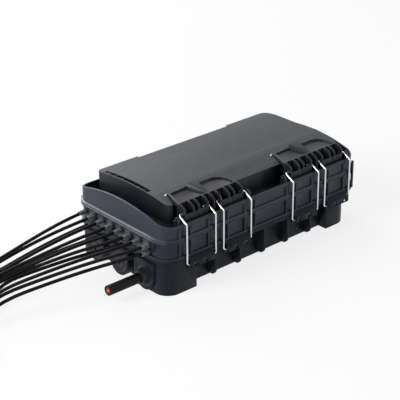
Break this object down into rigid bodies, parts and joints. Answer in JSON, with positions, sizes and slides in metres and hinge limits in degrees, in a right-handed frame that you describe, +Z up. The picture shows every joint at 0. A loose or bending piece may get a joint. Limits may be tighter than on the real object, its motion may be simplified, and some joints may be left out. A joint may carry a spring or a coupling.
{
  "type": "fibre distribution box",
  "caption": "Sealed fibre distribution box with a hinged cover held by wire-bail lever latches, splice trays inside, round cable ports and a fan of drop cables at one end.",
  "frame": {"origin": "on the flat resting face of the base, midway between the two latches and midway across the shells", "axes": "+X along the box away from the cable ports, +Y towards the rear hinges and away from the latches, +Z up"},
  "size_m": [0.8461, 0.3196, 0.1359],
  "materials": {
    "base_plastic": "satin moulded, near-black blue grey",
    "cover_plastic": "moulded, skirt smooth and deck finely textured",
    "lever_plastic": "moulded, satin",
    "seal_rubber": "matt moulded rubber",
    "gland_plastic": "moulded, satin",
    "bail_steel": "bright drawn stainless wire",
    "pin_steel": "ground pin",
    "feeder_jacket": "extruded jacket",
    "drop_jacket": "extruded jacket",
    "tray_plastic": "moulded light grey"
  },
  "bodies": {
    "box": {"base_shell": "base_plastic", "lower_gasket": "seal_rubber", "middle_frame": "base_plastic", "upper_gasket": "seal_rubber", "drop_seal_block": "seal_rubber", "feeder_gland": "gland_plastic", "feeder_cable": "feeder_jacket", "middle_port_plug": "seal_rubber", "rear_port_plug": "seal_rubber", "tray_carrier": "tray_plastic", "left_hinge_pin": "pin_steel", "right_hinge_pin": "pin_steel", "drop_cable_1": "drop_jacket", "drop_cable_2": "drop_jacket", "drop_cable_3": "drop_jacket", "drop_cable_4": "drop_jacket", "drop_cable_5": "drop_jacket", "drop_cable_6": "drop_jacket", "drop_cable_7": "drop_jacket", "drop_cable_8": "drop_jacket", "drop_cable_9": "drop_jacket", "drop_cable_10": "drop_jacket", "drop_cable_11": "drop_jacket", "drop_cable_12": "drop_jacket", "rear_cable_coil": "drop_jacket", "middle_cable_coil": "drop_jacket", "front_cable_coil": "drop_jacket"},
    "cover": {"cover_shell": "cover_plastic", "left_lever_pin_a": "pin_steel", "left_lever_pin_b": "pin_steel", "right_lever_pin_a": "pin_steel", "right_lever_pin_b": "pin_steel"},
    "left_lever": {"left_latch_lever": "lever_plastic"},
    "left_bails": {"left_wire_bail_a": "bail_steel", "left_wire_bail_b": "bail_steel"},
    "right_lever": {"right_latch_lever": "lever_plastic"},
    "right_bails": {"right_wire_bail_a": "bail_steel", "right_wire_bail_b": "bail_steel"},
    "tray_1": {"splice_tray_1": "tray_plastic"},
    "tray_2": {"splice_tray_2": "tray_plastic"},
    "tray_3": {"splice_tray_3": "tray_plastic"}
  },
  "joints": [
    {"name": "cover_hinge", "type": "hinge", "parent": "box", "child": "cover", "pos_m": [0, 0.1131, 0.08665], "axis": [-1, 0, 0], "range_deg": [0, 100]},
    {"name": "left_lever_pivot", "type": "hinge", "parent": "cover", "child": "left_lever", "pos_m": [-0.107, -0.0946, 0.1129], "axis": [1, 0, 0], "range_deg": [0, 90]},
    {"name": "left_bail_swing", "type": "hinge", "parent": "left_lever", "child": "left_bails", "pos_m": [-0.107, -0.0928, 0.1181], "axis": [1, 0, 0], "range_deg": [-85, 0]},
    {"name": "right_lever_pivot", "type": "hinge", "parent": "cover", "child": "right_lever", "pos_m": [0.107, -0.0946, 0.1129], "axis": [1, 0, 0], "range_deg": [0, 90]},
    {"name": "right_bail_swing", "type": "hinge", "parent": "right_lever", "child": "right_bails", "pos_m": [0.107, -0.0928, 0.1181], "axis": [1, 0, 0], "range_deg": [-85, 0]},
    {"name": "tray_1_hinge", "type": "hinge", "parent": "box", "child": "tray_1", "pos_m": [0.03, 0.0735, 0.0565], "axis": [-1, 0, 0], "range_deg": [0, 20]},
    {"name": "tray_2_hinge", "type": "hinge", "parent": "box", "child": "tray_2", "pos_m": [0.03, 0.0735, 0.0687], "axis": [-1, 0, 0], "range_deg": [0, 40]},
    {"name": "tray_3_hinge", "type": "hinge", "parent": "box", "child": "tray_3", "pos_m": [0.03, 0.0735, 0.0809], "axis": [-1, 0, 0], "range_deg": [0, 60]}
  ],
  "couplings": [
    {"joint": "left_bail_swing", "follows": "left_lever_pivot", "ratio": -0.94},
    {"joint": "right_bail_swing", "follows": "right_lever_pivot", "ratio": -0.94},
    {"joint": "tray_1_hinge", "follows": "cover_hinge", "ratio": 0.2},
    {"joint": "tray_2_hinge", "follows": "cover_hinge", "ratio": 0.4},
    {"joint": "tray_3_hinge", "follows": "cover_hinge", "ratio": 0.6}
  ]
}
